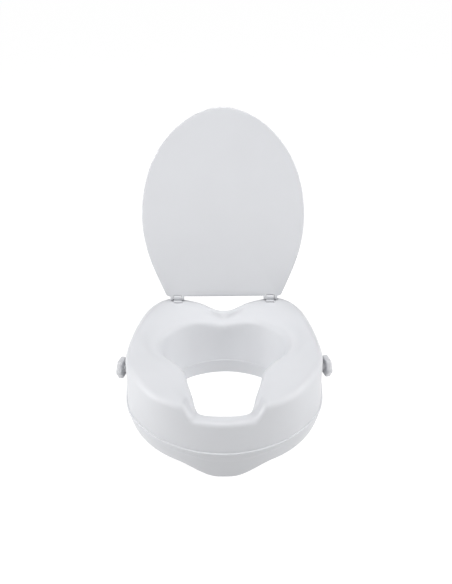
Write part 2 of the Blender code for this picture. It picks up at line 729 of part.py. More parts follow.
def main():
    clear_scene()
    parts = new_collection("raised_toilet_seat")
    cutters = new_collection("cutters")
    root = add_empty("seat_frame", parts, None, Matrix.Translation((0, SEAT_CENTRE_Y, 0)))
    opened = Euler((-math.radians(LID_OPENING), 0, 0)).to_matrix().to_4x4()
    lid_hinge = add_empty("lid_hinge_axis", parts, root,
                          Matrix.Translation((0, HINGE_SEAT_Y, HINGE_Z)) @ opened)
    make_seat(parts, cutters, root)
    make_lid(parts, cutters, lid_hinge)
    for side, name in SIDES:
        make_hinge_block(side, name, parts, cutters, root)
        make_hinge_pin(side, name, parts, lid_hinge)
        make_hinge_screw(side, name, parts, root)
        frame = add_empty("clamp_axis_" + name, parts, root, clamp_frame(side))
        make_knob(name, parts, cutters, frame)
        make_clamp_screw(name, parts, frame)
        make_jaw(name, parts, cutters, frame)
        make_jaw_nut(name, parts, cutters, frame)
        make_jaw_pad(name, parts, frame)
    make_rim_pads(parts, root)


main()
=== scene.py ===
"""Raised toilet seat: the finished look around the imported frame.

Metres, in the frame's own axes: +Z up, the front of the seat towards -Y. Left and right are
as seen from the front. Plans are read from the same outlines as the frame's seat and lid,
with many more stations and rounded sections.
"""

import json
import math

import bmesh
import bpy
import numpy as np
from mathutils import Matrix, Vector


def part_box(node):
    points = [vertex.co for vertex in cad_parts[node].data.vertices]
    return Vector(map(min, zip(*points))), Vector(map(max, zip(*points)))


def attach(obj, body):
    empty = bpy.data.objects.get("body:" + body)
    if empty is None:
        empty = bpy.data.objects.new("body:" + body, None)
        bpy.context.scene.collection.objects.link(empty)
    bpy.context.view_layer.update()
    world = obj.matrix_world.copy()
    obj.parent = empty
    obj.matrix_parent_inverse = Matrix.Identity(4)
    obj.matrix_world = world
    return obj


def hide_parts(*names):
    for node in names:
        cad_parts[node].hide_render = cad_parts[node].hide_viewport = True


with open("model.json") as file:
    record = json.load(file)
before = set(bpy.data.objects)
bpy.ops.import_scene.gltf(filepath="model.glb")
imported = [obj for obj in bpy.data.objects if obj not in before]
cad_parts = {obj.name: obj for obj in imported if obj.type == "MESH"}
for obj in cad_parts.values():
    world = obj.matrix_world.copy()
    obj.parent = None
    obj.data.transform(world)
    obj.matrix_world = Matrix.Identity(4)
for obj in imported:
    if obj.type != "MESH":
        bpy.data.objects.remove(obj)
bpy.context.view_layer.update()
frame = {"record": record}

MM = 0.001
SIDES = ((-1, "left"), (1, "right"))
JOINTS = {joint["name"]: joint for joint in frame["record"]["behaviour"]["joints"]}

# Seat: driving sizes, as in the frame
PLAN_CENTRE_Y = -72.5 * MM
RIM_PLANE_Z = 20 * MM
SEAT_TOP_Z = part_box("seat_body")[1][2]
LEDGE_Z = 50 * MM
GUARD_STEP_Z = 31 * MM
WALL = 3.6 * MM
WALL_TOP_Z = 108 * MM
WALL_LEAN = 20
OUTER_ROLL = 14 * MM
INNER_ROLL = 20 * MM
FRONT_ROLL = 8 * MM
CROWN_LAND = 6 * MM
DISH = 11 * MM
DIP_DEPTH = 22 * MM
DIP_HALF_FLAT = 50 * MM
DIP_HALF_WIDTH = 79 * MM
CHIN_HALF_FLAT = 12 * MM
CHIN_HALF_WIDTH = 84 * MM
LEDGE_DEPTH = 2.6 * MM
GUARD_STEP = 1.6 * MM

# Plans: angle from the front of the seat (degrees) and radius (mm) about the plan's centre
OUTER_PLAN = (
    (0, 157), (16, 157.5), (30, 161.5), (48, 168), (60, 171), (73, 177), (85, 184), (95, 188.5),
    (104, 193), (119, 208), (130, 226.5), (137.5, 242), (144, 253), (150, 257), (156, 248),
    (162, 228), (167, 211), (171, 194), (175.5, 179.5), (180, 175),
)
LEDGE_PLAN = (
    (0, 181), (22, 181.3), (44, 183.8), (55, 186), (65, 188.7), (76, 188.6), (87, 188.4),
    (98, 192.5), (107, 198.5), (119, 212), (130, 230.5), (137.5, 246), (144, 257), (150, 261),
    (156, 252), (162, 232), (167, 215), (171, 198), (175.5, 183.5), (180, 179),
)
SKIRT_PLAN = (
    (0, 183), (25, 182.6), (45, 182.5), (61, 182.3), (76, 183.6), (87, 185.5), (98, 190),
    (107, 196), (119, 209.5), (130, 228), (137.5, 243.5), (144, 254.5), (150, 258.5),
    (156, 249.5), (162, 229.5), (167, 212.5), (171, 195.5), (175.5, 181), (180, 176.5),
)
OPENING_PLAN = (
    (0, 134), (12, 135), (19, 133), (24.5, 124), (29, 113.5), (36.5, 100.5), (50, 86.5), (62, 79),
    (72, 78), (83, 84), (96, 99), (106, 119), (116, 136), (128, 148), (142.5, 151.5), (163, 145),
    (180, 129),
)
GUARD_PLAN = ((0, 120), (45, 118), (90, 117), (136, 119.5), (155, 115), (180, 113))
STATIONS = 320
STATION_CROWDING = 0.45
CORE_STATIONS = 120

# Lid
LID_OPENING = 107
LID_LENGTH = 396 * MM
LID_HALF_PLAN = (
    (0, 396), (57, 381), (104, 347), (141, 298), (163, 238), (170.5, 172), (165, 119), (151, 70),
    (131, 22), (125.5, 9.1),
)
LID_BACK_EDGE = 3 * MM
LID_CORNER_RADIUS = 10 * MM
LID_THICKNESS = 3.4 * MM
LID_DOME = 7 * MM
LID_UNDERSIDE = -4.5 * MM

# Hinges and clamps
HINGE_X = 100 * MM
HINGE_RADIUS = 6 * MM
BLOCK_WIDTH = 17 * MM
EAR_GAP = 1.2 * MM
INNER_EAR = 4 * MM
OUTER_EAR = 6 * MM
PIN_RADIUS = 2.5 * MM
HINGE_SCREW_RADIUS = 2.4 * MM
HINGE_SCREW_HEAD = 4.4 * MM
HINGE_Y, HINGE_Z = JOINTS["lid_hinge"]["pos_m"][1:]
HINGE_FLOOR_Z = 115 * MM
PILLAR_BOTTOM_Z = 96 * MM
CLAMP_TURN = 14
CLAMP_FACE = (191 * MM, -37.5 * MM)
CLAMP_Z = 70 * MM
BOSS_DEPTH = 9 * MM
SCREW_RADIUS = 4 * MM
SCREW_INNER_END = -73 * MM
SCREW_OUTER_END = 11.6 * MM
THREAD_PITCH = 2.5 * MM
CLAMP_RING_RADIUS = 8.5 * MM
KNOB_RADIUS = 21.5 * MM
KNOB_LOBES = 6
KNOB_LOBE_DEPTH = 1.3 * MM
KNOB_BACK = 5.2 * MM
KNOB_RIM = 11 * MM
KNOB_STEM_START = 1.6 * MM
KNOB_STEM_RADIUS = 5.6 * MM
JAW_FACE = -60 * MM
JAW_THICKNESS = 5 * MM
JAW_HALF_WIDTH = 17 * MM
JAW_TOP_Z = 84 * MM
JAW_BOTTOM_Z = 2 * MM
JAW_PAD_THICKNESS = 2.7 * MM
JAW_PAD_MARGIN = 2 * MM
NUT_RADIUS = 7.5 * MM
NUT_LENGTH = 6 * MM
NUT_DEPTH = 3.5 * MM
GAP = 0.3 * MM
BORE_PLAY = 0.15 * MM
PAD_RADIUS = 10 * MM
PAD_THICKNESS = 3 * MM
RIB_ANGLES = (14, 62, 166)
RIB_THICKNESS = 3 * MM
RIB_BOTTOM_Z = 36 * MM
RIB_INNER_END = 60 * MM
RIB_OUTER_END = 300 * MM

# Camera: above the front of the seat, looking down at 30 degrees
CAMERA_PLACE = (0.0047, -1.0137, 0.8050)
CAMERA_PITCH = 60
CAMERA_ROLL = -0.5
CAMERA_LENS = 49.03

# Turns the Z axis of a primitive to +X, and the X axis to +Z
Z_TO_X = Matrix.Rotation(math.pi / 2, 4, "Y")
X_TO_Z = Matrix.Rotation(-math.pi / 2, 4, "Y")


# Materials

def node(tree, kind, **values):
    """A shader node with its sockets or properties set by name."""
    made = tree.nodes.new(kind)
    for key, value in values.items():
        socket = key.replace("_", " ").title()
        if socket in made.inputs:
            made.inputs[socket].default_value = value
        else:
            setattr(made, key, value)
    return made


def moulded(name, colour, roughness, grain, bump, tint=0.015, coat=0.0, metallic=0.0):
    """Solid material with slow colour and gloss variation and a fine surface grain.

    grain is the size of the surface texture and bump its height, both in metres.
    """
    material = bpy.data.materials.new(name)
    material.use_nodes = True
    material.diffuse_color = (*colour, 1.0)
    tree = material.node_tree
    shader = tree.nodes["Principled BSDF"]
    shader.inputs["Metallic"].default_value = metallic
    shader.inputs["Coat Weight"].default_value = coat
    shader.inputs["Coat Roughness"].default_value = 0.12
    place = node(tree, "ShaderNodeTexCoord")

    slow = node(tree, "ShaderNodeTexNoise", scale=14.0, detail=3.0)
    tree.links.new(place.outputs["Object"], slow.inputs["Vector"])
    shades = node(tree, "ShaderNodeValToRGB")
    shades.color_ramp.elements[0].position = 0.3
    shades.color_ramp.elements[0].color = (*[c * (1 - tint) for c in colour], 1.0)
    shades.color_ramp.elements[1].position = 0.7
    shades.color_ramp.elements[1].color = (*[min(1.0, c * (1 + tint)) for c in colour], 1.0)
    tree.links.new(slow.outputs["Fac"], shades.inputs["Fac"])
    tree.links.new(shades.outputs["Color"], shader.inputs["Base Color"])

    gloss = node(tree, "ShaderNodeMapRange")
    gloss.inputs["To Min"].default_value = roughness * 0.85
    gloss.inputs["To Max"].default_value = min(1.0, roughness * 1.15)
    patches = node(tree, "ShaderNodeTexNoise", scale=60.0, detail=2.0)
    tree.links.new(place.outputs["Object"], patches.inputs["Vector"])
    tree.links.new(patches.outputs["Fac"], gloss.inputs["Value"])
    tree.links.new(gloss.outputs["Result"], shader.inputs["Roughness"])

    fine = node(tree, "ShaderNodeTexNoise", scale=1.0 / grain, detail=2.0)
    tree.links.new(place.outputs["Object"], fine.inputs["Vector"])
    relief = node(tree, "ShaderNodeBump", strength=1.0, distance=bump)
    tree.links.new(fine.outputs["Fac"], relief.inputs["Height"])
    tree.links.new(relief.outputs["Normal"], shader.inputs["Normal"])
    return material


def brushed(name, colour, roughness, streaks):
    """Plated steel with fine streaks along X, the way turned and drawn parts show them."""
    material = moulded(name, colour, roughness, 0.4 * MM, 0.01 * MM, tint=0.05, metallic=1.0)
    tree = material.node_tree
    shader = tree.nodes["Principled BSDF"]
    place = next(n for n in tree.nodes if n.type == "TEX_COORD")
    stretch = node(tree, "ShaderNodeMapping")
    stretch.inputs["Scale"].default_value = (streaks * 0.05, streaks, streaks)
    lines = node(tree, "ShaderNodeTexNoise", scale=1.0, detail=4.0)
    tree.links.new(place.outputs["Object"], stretch.inputs["Vector"])
    tree.links.new(stretch.outputs["Vector"], lines.inputs["Vector"])
    relief = node(tree, "ShaderNodeBump", strength=0.6, distance=0.02 * MM)
    tree.links.new(lines.outputs["Fac"], relief.inputs["Height"])
    tree.links.new(relief.outputs["Normal"], shader.inputs["Normal"])
    return material


def make_materials():
    white = (0.617, 0.625, 0.648)
    return {
        "shell": moulded("seat_white", white, 0.42, 0.8 * MM, 0.0009 * MM, tint=0.008),
        "lid": moulded("lid_white", white, 0.15, 0.8 * MM, 0.0007 * MM, tint=0.008),
        "rib": moulded("inner_white", (0.61, 0.618, 0.64), 0.38, 0.6 * MM, 0.004 * MM, tint=0.012),
        "knob": moulded("knob_white", (0.60, 0.605, 0.625), 0.34, 0.7 * MM, 0.003 * MM, tint=0.02),
        "rubber": moulded("grey_rubber", (0.13, 0.13, 0.135), 0.75, 0.5 * MM, 0.03 * MM, tint=0.08),
        "steel": brushed("plated_steel", (0.62, 0.62, 0.63), 0.30, 900.0),
    }


# Mesh helpers

def finish_mesh(work, name, material, sharp=40):
    """A smooth-shaded object from a bmesh, with edges sharper than the given angle kept."""
    bmesh.ops.recalc_face_normals(work, faces=work.faces)
    mesh = bpy.data.meshes.new(name)
    work.to_mesh(mesh)
    work.free()
    item = bpy.data.objects.new(name, mesh)
    bpy.context.scene.collection.objects.link(item)
    mesh.materials.append(material)
    mesh.shade_smooth()
    mesh.set_sharp_from_angle(angle=math.radians(sharp))
    return item


def join_rings(work, one, two):
    for i in range(len(one)):
        j = (i + 1) % len(one)
        work.faces.new((one[i], one[j], two[j], two[i]))


def add_loft(work, rings, caps=False, loop=False):
    """Quads between rings of equal length; loop joins the last ring to the first."""
    rows = [[work.verts.new(point) for point in ring] for ring in rings]
    pairs = list(zip(rows, rows[1:]))
    if loop:
        pairs.append((rows[-1], rows[0]))
    for one, two in pairs:
        join_rings(work, one, two)
    if caps:
        work.faces.new(list(reversed(rows[0])))
        work.faces.new(rows[-1])
    return rows


def add_turned(work, profile, placement, steps=48):
    """Turned about the placement's X axis from (x, radius) points, and a ring if it is off the axis."""
    solid = profile[0][1] == 0
    points = profile[1:-1] if solid else profile
    turns = [2 * math.pi * i / steps for i in range(steps)]
    rings = [[placement @ Vector((x, r * math.cos(t), r * math.sin(t))) for t in turns] for x, r in points]
    rows = add_loft(work, rings, loop=not solid)
    if not solid:
        return
    for row, (x, _) in ((rows[0], profile[0]), (rows[-1], profile[-1])):
        tip = work.verts.new(placement @ Vector((x, 0, 0)))
        for i in range(steps):
            work.faces.new((tip, row[i], row[(i + 1) % steps]))


def add_box(work, low, high, placement=Matrix.Identity(4)):
    low, high = Vector(low), Vector(high)
    size = Matrix.Diagonal((*(high - low), 1.0))
    bmesh.ops.create_cube(work, size=1.0, matrix=placement @ Matrix.Translation((low + high) / 2) @ size)


def add_rod(work, radius, start, end, placement=Matrix.Identity(4), segments=48):
    turn = Matrix.Translation(((start + end) / 2, 0, 0)) @ Z_TO_X
    bmesh.ops.create_cone(work, cap_ends=True, segments=segments, radius1=radius, radius2=radius,
                          depth=end - start, matrix=placement @ turn)


def cut(item, operation, work, name):
    """Applies one Boolean to the object's mesh and removes the tool."""
    tool = finish_mesh(work, name, item.data.materials[0])
    modifier = item.modifiers.new(operation.title(), "BOOLEAN")
    modifier.operation = operation
    modifier.object = tool
    bake(item)
    bpy.data.objects.remove(tool, do_unlink=True)


def bake(item):
    """Applies the object's modifiers to its mesh."""
    graph = bpy.context.evaluated_depsgraph_get()
    done = bpy.data.meshes.new_from_object(item.evaluated_get(graph), depsgraph=graph)
    item.modifiers.clear()
    item.data = done


def soften(item, width, segments=2, angle=40):
    bevel = item.modifiers.new("Edges", "BEVEL")
    bevel.width = width
    bevel.segments = segments
    bevel.limit_method = "ANGLE"
    bevel.angle_limit = math.radians(angle)
    bake(item)
    item.data.shade_smooth()
    item.data.set_sharp_from_angle(angle=math.radians(angle))


def settle(item, body, slot, *nodes):
    """The piece rides on its body and stands for its nodes, which are hidden; the slot is not used."""
    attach(item, body)
    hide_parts(*nodes)


# Curves

def spline(knots, values, first_slope, last_slope):
    """Cubic through the points with continuous curvature and the given end slopes."""
    x = np.array(knots, float)
    y = np.array(values, float)
    step = np.diff(x)
    chord = np.diff(y) / step
    count = len(x)
    system = np.zeros((count, count))
    right = np.zeros(count)
    system[0, 0:2] = 2 * step[0], step[0]
    right[0] = 6 * (chord[0] - first_slope)
    system[-1, -2:] = step[-1], 2 * step[-1]
    right[-1] = 6 * (last_slope - chord[-1])
    for i in range(1, count - 1):
        system[i, i - 1:i + 2] = step[i - 1], 2 * (step[i - 1] + step[i]), step[i]
        right[i] = 6 * (chord[i] - chord[i - 1])
    bend = np.linalg.solve(system, right)

    def at(position):
        i = np.clip(np.searchsorted(x, position) - 1, 0, count - 2)
        a, b = x[i + 1] - position, position - x[i]
        h = step[i]
        return ((bend[i] * a ** 3 + bend[i + 1] * b ** 3) / (6 * h)
                + (y[i] / h - bend[i] * h / 6) * a + (y[i + 1] / h - bend[i + 1] * h / 6) * b)

    return at


def smooth_step(value, start, end):
    t = np.clip((value - start) / (end - start), 0, 1)
    return t * t * (3 - 2 * t)


def station_angles(stations):
    even = np.linspace(0, 2 * math.pi, stations, endpoint=False)
    return even - STATION_CROWDING * np.sin(2 * even) / 2


def plan_curve(points, stations=STATIONS):
    """A symmetric closed plan as (x, y) rows, one per station."""
    angles = station_angles(stations)
    from_front = np.degrees(np.minimum(angles, 2 * math.pi - angles))
    radius = spline([p[0] for p in points], [p[1] * MM for p in points], 0, 0)(from_front)
    return np.stack([radius * np.sin(angles), PLAN_CENTRE_Y - radius * np.cos(angles)], 1)


def outward(curve):
    along = np.roll(curve, -1, 0) - np.roll(curve, 1, 0)
    normal = np.stack([along[:, 1], -along[:, 0]], 1)
    return normal / np.linalg.norm(normal, axis=1)[:, None]


def ring_at(plan, height):
    return np.column_stack([plan, np.broadcast_to(height, len(plan))])


def blended(normal, chord, share):
    """Unit directions part of the way from the normal to the chord."""
    mixed = normal * (1 - share) + chord * share
    return mixed / np.linalg.norm(mixed, axis=1)[:, None]


def across_front(plan, half_flat, half_width):
    """1 over the middle of the front, falling smoothly to 0 at half_width on either side."""
    fall = 1 - smooth_step(np.abs(plan[:, 0]), half_flat, half_width)
    return np.where(plan[:, 1] < PLAN_CENTRE_Y, fall, 0)


def across_back(stations):
    """0 round the front of the opening, rising to 1 past its widest point."""
    angles = station_angles(stations)
    return smooth_step(np.degrees(np.minimum(angles, 2 * math.pi - angles)), 88, 114)


# Seat shell

def skirt_section(stations):
    """From just above the skirt's bottom edge to the ledge, with a faint crease above the chin."""
    skirt, ledge = plan_curve(SKIRT_PLAN, stations), plan_curve(LEDGE_PLAN, stations)
    chin = RIM_PLANE_Z * (1 - across_front(skirt, CHIN_HALF_FLAT, CHIN_HALF_WIDTH))
    low, high = chin + 1 * MM, LEDGE_Z - LEDGE_DEPTH
    normal = outward(ledge)
    front = across_front(ledge, 70 * MM, 150 * MM)
    rings = []
    for part in (0, 0.15, 0.3, 0.45, 0.6, 0.68, 0.71, 0.74, 0.77, 0.8, 0.88, 0.96, 1.0):
        height = low + (high - low) * part
        crease = 0.55 * MM * smooth_step(np.full(len(skirt), part), 0.70, 0.77) * front
        fade = 1 - smooth_step(np.full(len(skirt), part), 0.8, 1.0)
        plan = skirt + (ledge - skirt) * part - normal * ((crease * fade)[:, None])
        rings.append(ring_at(plan, height))
    foot = ledge - normal * LEDGE_DEPTH
    nose = [ring_at(ledge - normal * back * MM, LEDGE_Z - down * MM)
            for back, down in ((0.0, 1.9), (0.12, 1.2), (0.4, 0.6), (0.85, 0.2), (1.4, 0.03), (2.2, 0.0))]
    nose.append(ring_at(foot - normal * 0.15 * MM, LEDGE_Z + 0.12 * MM))
    return rings, nose, foot, chin


def top_section(foot, stations):
    """Leaning wall, rolled outer edge, dished top and the roll into the opening."""
    outer, opening = plan_curve(OUTER_PLAN, stations), plan_curve(OPENING_PLAN, stations)
    guard = plan_curve(GUARD_PLAN, stations)
    out_normal, in_normal = outward(outer), outward(opening)
    dip = across_front(outer, DIP_HALF_FLAT, DIP_HALF_WIDTH)
    crest = SEAT_TOP_Z - DIP_DEPTH * dip
    roll = FRONT_ROLL + (INNER_ROLL - FRONT_ROLL) * across_back(stations)
    land = np.linalg.norm(outer - opening, axis=1)
    narrow = np.minimum(1, land / (OUTER_ROLL + roll + CROWN_LAND))
    outer_roll = OUTER_ROLL * narrow
    inner_roll = roll * narrow
    inner_top = crest - DISH * (1 - 0.8 * dip)
    lean = math.radians(WALL_LEAN)

    wall_end = crest - outer_roll * (1 - math.sin(lean))
    rise = np.minimum((wall_end - LEDGE_Z) / (WALL_TOP_Z - LEDGE_Z), 1.05)
    wall = foot + (outer - foot) * rise[:, None]
    rings = []
    for part in np.linspace(0.03, 1, 12):
        rings.append(ring_at(foot + (wall - foot) * part, LEDGE_Z + (wall_end - LEDGE_Z) * part))
    for turn in np.radians(np.linspace(WALL_LEAN + 7, 88, 10)):
        inset = outer_roll * (math.cos(lean) - math.cos(turn))
        rings.append(ring_at(wall - out_normal * inset[:, None], crest - outer_roll * (1 - math.sin(turn))))

    crown_start = rings[-1]
    first, last = math.radians(80), roll_end(opening, in_normal, guard, inner_top, inner_roll)
    start = ring_at(opening + in_normal * (inner_roll * (1 - math.cos(first)))[:, None],
                    inner_top - inner_roll * (1 - math.sin(first)))
    span = np.linalg.norm(start[:, :2] - crown_start[:, :2], axis=1)
    chord = (start[:, :2] - crown_start[:, :2]) / span[:, None]
    leave, arrive = blended(-out_normal, chord, 0.75), blended(-in_normal, chord, 0.5)
    into = np.column_stack([leave, np.full(len(outer), -math.tan(math.radians(2)))]) * span[:, None]
    away = np.column_stack([arrive, np.full(len(outer), -math.tan(math.radians(10)))]) * span[:, None]
    for t in np.linspace(0, 1, 14)[1:-1]:
        rings.append((2 * t ** 3 - 3 * t ** 2 + 1) * crown_start + (t ** 3 - 2 * t ** 2 + t) * into
                     + (3 * t ** 2 - 2 * t ** 3) * start + (t ** 3 - t ** 2) * away)
    for t in np.linspace(0, 1, 12):
        turn = first + (last - first) * t
        rings.append(ring_at(opening + in_normal * (inner_roll * (1 - np.cos(turn)))[:, None],
                             inner_top - inner_roll * (1 - np.sin(turn))))
    return rings


def roll_end(opening, normal, guard, inner_top, roll):
    """The angle at which the inner roll meets the throat's straight wall without a kink."""
    target = guard + outward(guard) * GUARD_STEP
    inward = np.sum((opening - target) * normal, axis=1)
    turn = np.zeros(len(opening))
    for _ in range(12):
        across = inward + roll * (1 - np.cos(turn))
        down = inner_top - roll * (1 - np.sin(turn)) - GUARD_STEP_Z
        turn = np.clip(np.arctan2(across, down), math.radians(-28), math.radians(40))
    return turn


def guard_section(roll_last, stations):
    """Throat wall, the guard's step and the guard down to its edge."""
    guard = plan_curve(GUARD_PLAN, stations)
    normal = outward(guard)
    step = ring_at(guard + normal * GUARD_STEP, GUARD_STEP_Z + 0.7 * MM)
    throat = [roll_last + (step - roll_last) * part for part in np.linspace(0, 1, 16)[1:]]
    ledge = [ring_at(guard + normal * out * MM, GUARD_STEP_Z + up * MM)
             for out, up in ((1.45, 0.2), (1.1, 0), (0.5, -0.05), (0.15, -0.3), (0, -0.9))]
    low = [ring_at(guard, height * MM) for height in (25, 20, 15, 10, 5, 2, 1)]
    return throat, ledge, low


def inset_rings(rings, depth):
    """The same rings moved into the plastic by depth, square to the surface."""
    across = np.gradient(rings, axis=0)
    around = np.roll(rings, -1, 1) - np.roll(rings, 1, 1)
    normal = np.cross(around, across)
    normal /= np.linalg.norm(normal, axis=2)[:, :, None]
    return rings - normal * depth


def bottom_edge(outside, inside, height):
    """Rounded edge between the outer and inner faces of a wall, low point at the given height."""
    span = inside - outside
    return [ring_at(outside + span * across, height + up * MM)
            for across, up in ((0.05, 0.45), (0.18, 0.08), (0.35, 0), (0.65, 0), (0.82, 0.08), (0.95, 0.45))]


def shell_rings(stations):
    """All rings of the closed shell: up the outside, down the throat, and back along the inside."""
    skirt, nose, foot, chin = skirt_section(stations)
    top = top_section(foot, stations)
    throat, step, low = guard_section(top[-1], stations)
    outside = skirt + nose + top + throat + step + low
    smooth = skirt[:-1] + top[:-1:2] + throat[1:-1:2] + low
    inside = inset_rings(np.array(smooth), WALL)
    inside[0, :, 2] = skirt[0][:, 2]
    inside[-1, :, 2] = low[-1][:, 2]
    turn_under = bottom_edge(low[-1][:, :2], inside[-1, :, :2], 0.0)
    skirt_edge = bottom_edge(skirt[0][:, :2], inside[0, :, :2], chin)
    return outside + turn_under + list(inside[::-1]) + list(reversed(skirt_edge))


def make_shell(material):
    work = bmesh.new()
    add_loft(work, shell_rings(STATIONS), loop=True)
    return finish_mesh(work, "seat_shell", material, sharp=60)


# Seat: what is under the shell

def clamp_frame(side):
    """A clamp's own axes: +X along the screw out of the seat, +Z up, origin on the boss's face."""
    turn = CLAMP_TURN if side > 0 else 180 - CLAMP_TURN
    place = Matrix.Translation((side * CLAMP_FACE[0], CLAMP_FACE[1], CLAMP_Z))
    return place @ Matrix.Rotation(math.radians(turn), 4, "Z")


def upright(x, y):
    return Matrix.Translation((x, y, 0)) @ X_TO_Z


def pad_place(where, side):
    low, high = (Vector(corner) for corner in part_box(f"rim_pad_{where}_{side}"))
    return (low + high) / 2


def seat_core():
    """The solid inside the shell, out to the middle of its wall."""
    work = bmesh.new()
    skirt, _, foot, _ = skirt_section(CORE_STATIONS)
    top = top_section(foot, CORE_STATIONS)
    throat, _, low = guard_section(top[-1], CORE_STATIONS)
    rings = np.array(skirt[:-1:2] + top[:-1:3] + throat[1:-1:3] + low[::2])
    inside = inset_rings(rings, WALL / 2)
    inside[0, :, 2] = skirt[0][:, 2]
    inside[-1, :, 2] = low[-1][:, 2]
    add_loft(work, inside, loop=True)
    return work


def make_structure(material):
    """Ribs, clamp guides, hinge pillars and pad columns, trimmed to the shell they grow from."""
    work = bmesh.new()
    for side, name in SIDES:
        for angle in RIB_ANGLES:
            spin = Matrix.Rotation(math.radians(side * angle), 4, "Z")
            add_box(work, (-RIB_THICKNESS / 2, -RIB_OUTER_END, RIB_BOTTOM_Z),
                    (RIB_THICKNESS / 2, -RIB_INNER_END, SEAT_TOP_Z),
                    Matrix.Translation((0, PLAN_CENTRE_Y, 0)) @ spin)
        for edge in (-1, 1):
            middle = edge * (JAW_HALF_WIDTH + 2.5 * MM)
            add_box(work, (-120 * MM, middle - RIB_THICKNESS / 2, RIM_PLANE_Z + 2 * MM - CLAMP_Z),
                    (20 * MM, middle + RIB_THICKNESS / 2, SEAT_TOP_Z - CLAMP_Z), clamp_frame(side))
        add_box(work, (side * HINGE_X - 14 * MM, HINGE_Y - 13 * MM, PILLAR_BOTTOM_Z),
                (side * HINGE_X + 14 * MM, HINGE_Y + 16 * MM, SEAT_TOP_Z))
        for where in ("front", "back"):
            place = pad_place(where, name)
            add_rod(work, PAD_RADIUS, RIM_PLANE_Z + PAD_THICKNESS + GAP, SEAT_TOP_Z,
                    upright(place.x, place.y))
    structure = finish_mesh(work, "seat_structure", material)
    cut(structure, "INTERSECT", seat_core(), "core")
    return structure


def make_bosses(material):
    """Round pads on the side walls that the clamps' washers bear on."""
    work = bmesh.new()
    profile = [(-9 * MM, 0), (-9 * MM, 9.4 * MM), (-8.4 * MM, 10 * MM), (-1.2 * MM, 10 * MM),
               (-0.6 * MM, 9.85 * MM), (-0.18 * MM, 9.4 * MM), (0, 8.8 * MM), (0, 0)]
    for side, _ in SIDES:
        add_turned(work, profile, clamp_frame(side), steps=72)
    return finish_mesh(work, "seat_bosses", material)


def seat_openings():
    """Pockets for the hinge blocks, and clearance holes for the clamp and hinge screws."""
    work = bmesh.new()
    half = BLOCK_WIDTH / 2 + GAP
    for side, _ in SIDES:
        x = side * HINGE_X
        add_box(work, (x - half, HINGE_Y - 11 * MM, HINGE_FLOOR_Z),
                (x + half, HINGE_Y + 30 * MM, SEAT_TOP_Z + 20 * MM))
        add_rod(work, SCREW_RADIUS + GAP, -20 * MM, 20 * MM, clamp_frame(side))
        add_rod(work, HINGE_SCREW_RADIUS + GAP, PILLAR_BOTTOM_Z - 16 * MM, HINGE_FLOOR_Z - 1 * MM,
                upright(x, HINGE_Y))
    return work


def make_seat(materials):
    shell = make_shell(materials["shell"])
    for piece in (shell, make_structure(materials["rib"]), make_bosses(materials["shell"])):
        cut(piece, "DIFFERENCE", seat_openings(), "openings")
        piece.data.shade_smooth()
        piece.data.set_sharp_from_angle(angle=math.radians(40))
        settle(piece, "seat", "white_plastic", "seat_body")


# Lid

def lid_outline():
    """The lid's closed plan, hinge axis at y = 0 and the front edge at y = -LID_LENGTH."""
    points = np.array(LID_HALF_PLAN) * MM
    along = np.concatenate([[0], np.cumsum(np.linalg.norm(np.diff(points, axis=0), axis=1))])
    x_at = spline(along, points[:, 0], 1.0, -0.39)
    y_at = spline(along, points[:, 1], 0.0, -0.92)
    half = [(float(x_at(v)), float(y_at(v))) for v in np.linspace(0, along[-1], 120)]
    r = LID_CORNER_RADIUS
    centre = (half[-1][0] - 0.92 * r, LID_BACK_EDGE + r)
    for turn in np.radians(np.linspace(-28, -90, 12)):
        half.append((centre[0] + r * math.cos(turn), centre[1] + r * math.sin(turn)))
    for part in np.linspace(0.94, 0, 16):
        half.append((centre[0] * part, LID_BACK_EDGE))
    other = [(-x, y) for x, y in reversed(half[1:-1])]
    return np.array([(x, -y) for x, y in half + other])


def lid_frame():
    """From the closed lid's axes, with its hinge along X, to where it stands open."""
    return Matrix.Translation((0, HINGE_Y, HINGE_Z)) @ Matrix.Rotation(-math.radians(LID_OPENING), 4, "X")


def make_lid_plate(material):
    """A thin shallow dome with a rounded edge."""
    outline = lid_outline()
    middle = np.array([0, -LID_LENGTH * 0.45])
    fall = spline((0, 0.2, 0.45, 0.75, 0.93, 0.985), (0, 0.03, 0.18, 0.55, 0.92, 1.0), 0, 0.6)
    parts = (0.04, 0.1, 0.17, 0.25, 0.33, 0.41, 0.49, 0.57, 0.65, 0.72, 0.78, 0.84, 0.89, 0.93, 0.96,
             0.985)
    inside = [(part, LID_UNDERSIDE + LID_DOME * (1 - float(fall(part)))) for part in parts]
    bulge = ((0.992, 0.08), (0.9975, 0.4), (1.0, 1.0), (1.0, 1.7), (0.997, 2.5), (0.990, 3.1))
    edge = [(part, LID_UNDERSIDE + up * MM) for part, up in bulge]
    outside = [(min(part, 0.98), height + LID_THICKNESS) for part, height in reversed(inside)]
    place = lid_frame()
    work = bmesh.new()
    rings = [[place @ Vector(point) for point in ring_at(middle + (outline - middle) * part, height)]
             for part, height in inside + edge + outside]
    rows = add_loft(work, rings)
    for row, (_, height) in ((rows[0], inside[0]), (rows[-1], outside[-1])):
        tip = work.verts.new(place @ Vector((*middle, height)))
        for i in range(len(row)):
            work.faces.new((tip, row[i], row[(i + 1) % len(row)]))
    plate = finish_mesh(work, "lid_plate", material, sharp=60)
    relief = bmesh.new()
    for side, _ in SIDES:
        low, high = sorted(side * (HINGE_X + end * (BLOCK_WIDTH / 2 + EAR_GAP)) for end in (-1, 1))
        add_rod(relief, HINGE_RADIUS + 1.5 * MM, low, high, place)
    cut(plate, "DIFFERENCE", relief, "relief")
    plate.data.shade_smooth()
    plate.data.set_sharp_from_angle(angle=math.radians(50))
    return plate


